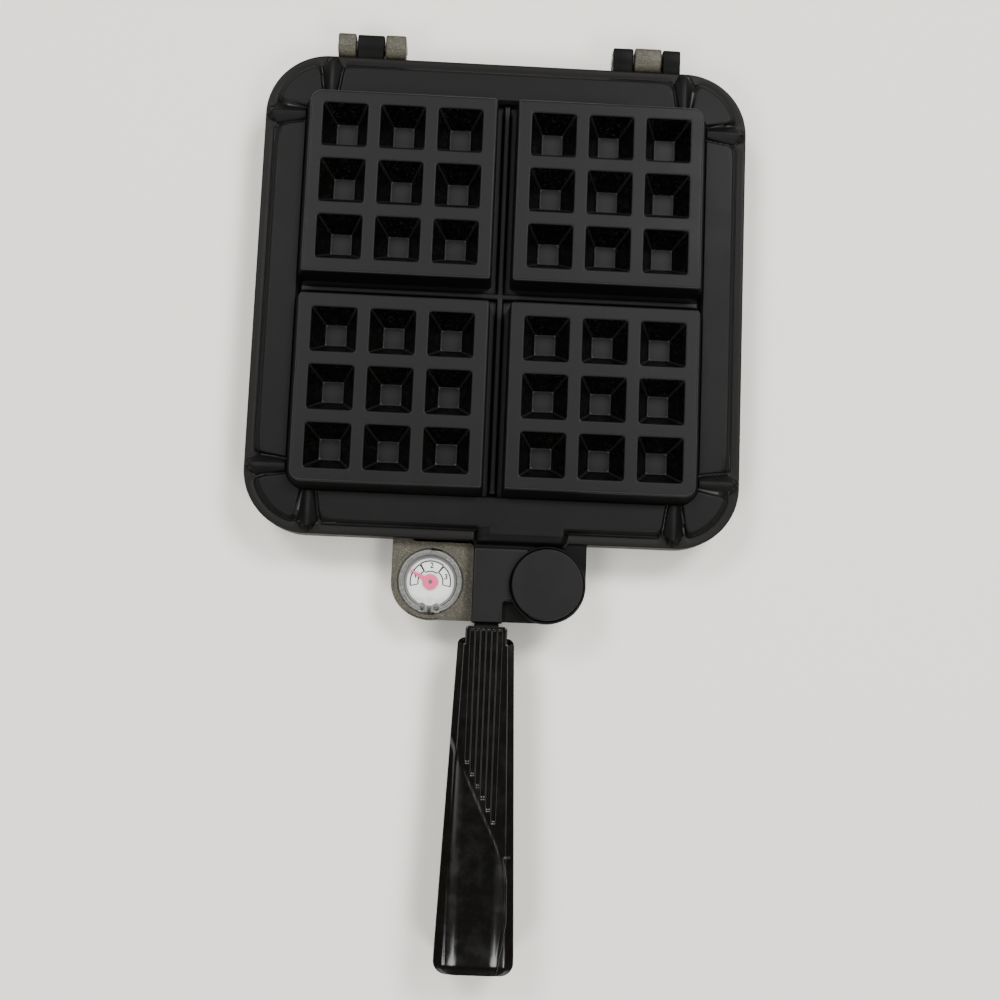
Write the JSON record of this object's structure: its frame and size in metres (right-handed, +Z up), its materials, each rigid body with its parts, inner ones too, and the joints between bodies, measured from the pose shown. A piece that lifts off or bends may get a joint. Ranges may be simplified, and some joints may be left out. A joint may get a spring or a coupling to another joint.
{
  "type": "stovetop waffle iron",
  "caption": "Square hinged stovetop waffle iron: two cast plates with deep lattice blocks, a temperature gauge in each plate's ear, and long split handles.",
  "frame": {"origin": "centre of the bottom of the bounding box: under the closed iron, on the plane its lower lattice blocks stand on", "axes": "+Y along the iron from the handles to the hinges, +X across the plates, +Z up through the upper plate"},
  "size_m": [0.217, 0.41, 0.037],
  "materials": {
    "coated_casting": "cast, matte black non-stick coat outside, pewter grey coat inside",
    "pewter_casting": "the same casting turned over: black outside, pewter grey inside and on its hinge knuckles",
    "phenolic": "glossy dark brown moulded phenolic with faint red mottling",
    "steel_fastener": "plain steel",
    "dial_face": "white printed metal",
    "bimetal": "thin bimetal strip",
    "pointer_paint": "pink red paint",
    "dull_steel_ring": "satin spring steel",
    "lens_glass": "clear"
  },
  "bodies": {
    "lower_half": {"lower_plate": "pewter_casting", "lower_handle": "phenolic", "lower_handle_screws": "steel_fastener", "left_hinge_pin": "steel_fastener", "lower_dial": "dial_face", "lower_bimetal_coil": "bimetal", "lower_spacer_ring": "dull_steel_ring", "lower_lens": "lens_glass", "lower_snap_ring": "dull_steel_ring"},
    "upper_half": {"upper_plate": "coated_casting", "upper_handle": "phenolic", "upper_handle_screws": "steel_fastener", "right_hinge_pin": "steel_fastener", "upper_dial": "dial_face", "upper_bimetal_coil": "bimetal", "upper_spacer_ring": "dull_steel_ring", "upper_lens": "lens_glass", "upper_snap_ring": "dull_steel_ring"},
    "lower_needle": {"lower_pointer": "pointer_paint", "lower_arbor": "steel_fastener"},
    "upper_needle": {"upper_pointer": "pointer_paint", "upper_arbor": "steel_fastener"}
  },
  "joints": [
    {"name": "plate_hinge", "type": "hinge", "parent": "lower_half", "child": "upper_half", "pos_m": [0, 0.20025, 0.0185], "axis": [-1, 0, 0], "range_deg": [0, 98]},
    {"name": "lower_needle_turn", "type": "hinge", "parent": "lower_half", "child": "lower_needle", "pos_m": [-0.0253, -0.04165, 0.0143], "axis": [0, 0, 1], "range_deg": [-165, 34], "stiffness_Nm_per_rad": 0.00005},
    {"name": "upper_needle_turn", "type": "hinge", "parent": "upper_half", "child": "upper_needle", "pos_m": [0.0253, -0.04165, 0.0227], "axis": [0, 0, -1], "range_deg": [-165, 34], "stiffness_Nm_per_rad": 0.00005}
  ]
}
